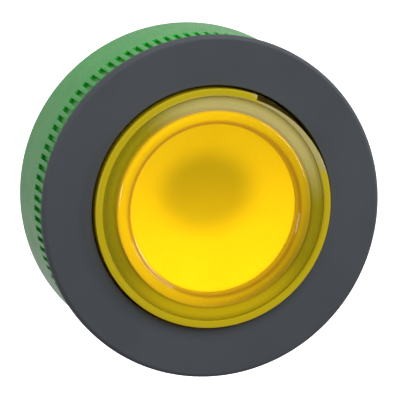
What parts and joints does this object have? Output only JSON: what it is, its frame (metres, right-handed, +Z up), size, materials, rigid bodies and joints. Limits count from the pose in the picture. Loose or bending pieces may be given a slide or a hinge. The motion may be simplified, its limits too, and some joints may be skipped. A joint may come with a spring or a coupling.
{
  "type": "illuminated push-button head",
  "caption": "Round panel-mounting push-button head with a dished clear yellow lens cap that is pressed against a return spring, a plain bezel and a slotted fixing nut.",
  "frame": {"origin": "centre of the panel seat, where the bezel's back meets the panel", "axes": "+Y runs back along the head's axis, from the lens to the rear neck; the front faces -Y; +Z is up, through the barrel's keyway; +X is to the right as seen from the front"},
  "size_m": [0.036, 0.0311, 0.036],
  "materials": {
    "bezel_grey": "moulded thermoplastic, fine satin",
    "body_black": "moulded thermoplastic, satin",
    "carrier_grey": "moulded thermoplastic, satin",
    "lens_yellow": "clear yellow moulded plastic, polished",
    "filter_film": "thin clear film",
    "milky_white": "milky diffusing plastic",
    "clear_guide": "clear plastic, polished",
    "inner_white": "self-lubricating moulded plastic",
    "nut_green": "moulded plastic, glossy",
    "seal_rubber": "matt black rubber",
    "spring_steel": "drawn spring steel",
    "zinc_steel": "zinc-plated sheet steel"
  },
  "bodies": {
    "housing": {"body_barrel": "body_black", "bezel": "bezel_grey", "panel_gasket": "seal_rubber", "lip_seal": "seal_rubber", "seal_retainer": "inner_white", "guide_bush": "inner_white", "spring_seat": "zinc_steel", "return_spring": "spring_steel", "rear_guide_plate": "body_black", "plate_clip": "spring_steel"},
    "button": {"lens_cap": "lens_yellow", "filter_disc": "filter_film", "diffuser": "milky_white", "lens_seal": "seal_rubber", "lens_carrier": "carrier_grey", "plunger": "carrier_grey", "light_guide": "clear_guide", "retaining_ring": "spring_steel", "push_fork": "inner_white"},
    "washer": {"thrust_washer": "zinc_steel"},
    "nut": {"fixing_nut": "nut_green"}
  },
  "joints": [
    {"name": "button_push", "type": "slide", "parent": "housing", "child": "button", "axis": [0, 1, 0], "range_m": [0, 0.004], "stiffness_N_per_m": 800, "springref_m": -0.003, "deforming": ["return_spring"]},
    {"name": "nut_travel", "type": "slide", "parent": "housing", "child": "washer", "axis": [0, 1, 0], "range_m": [0, 0.0165]},
    {"name": "nut_spin", "type": "hinge", "parent": "washer", "child": "nut", "pos_m": [0, 0.007, 0], "axis": [0, 1, 0], "range_deg": [0, 3960]}
  ],
  "couplings": [
    {"joint": "nut_travel", "follows": "nut_spin", "m_per_rad": 0.00023873}
  ]
}
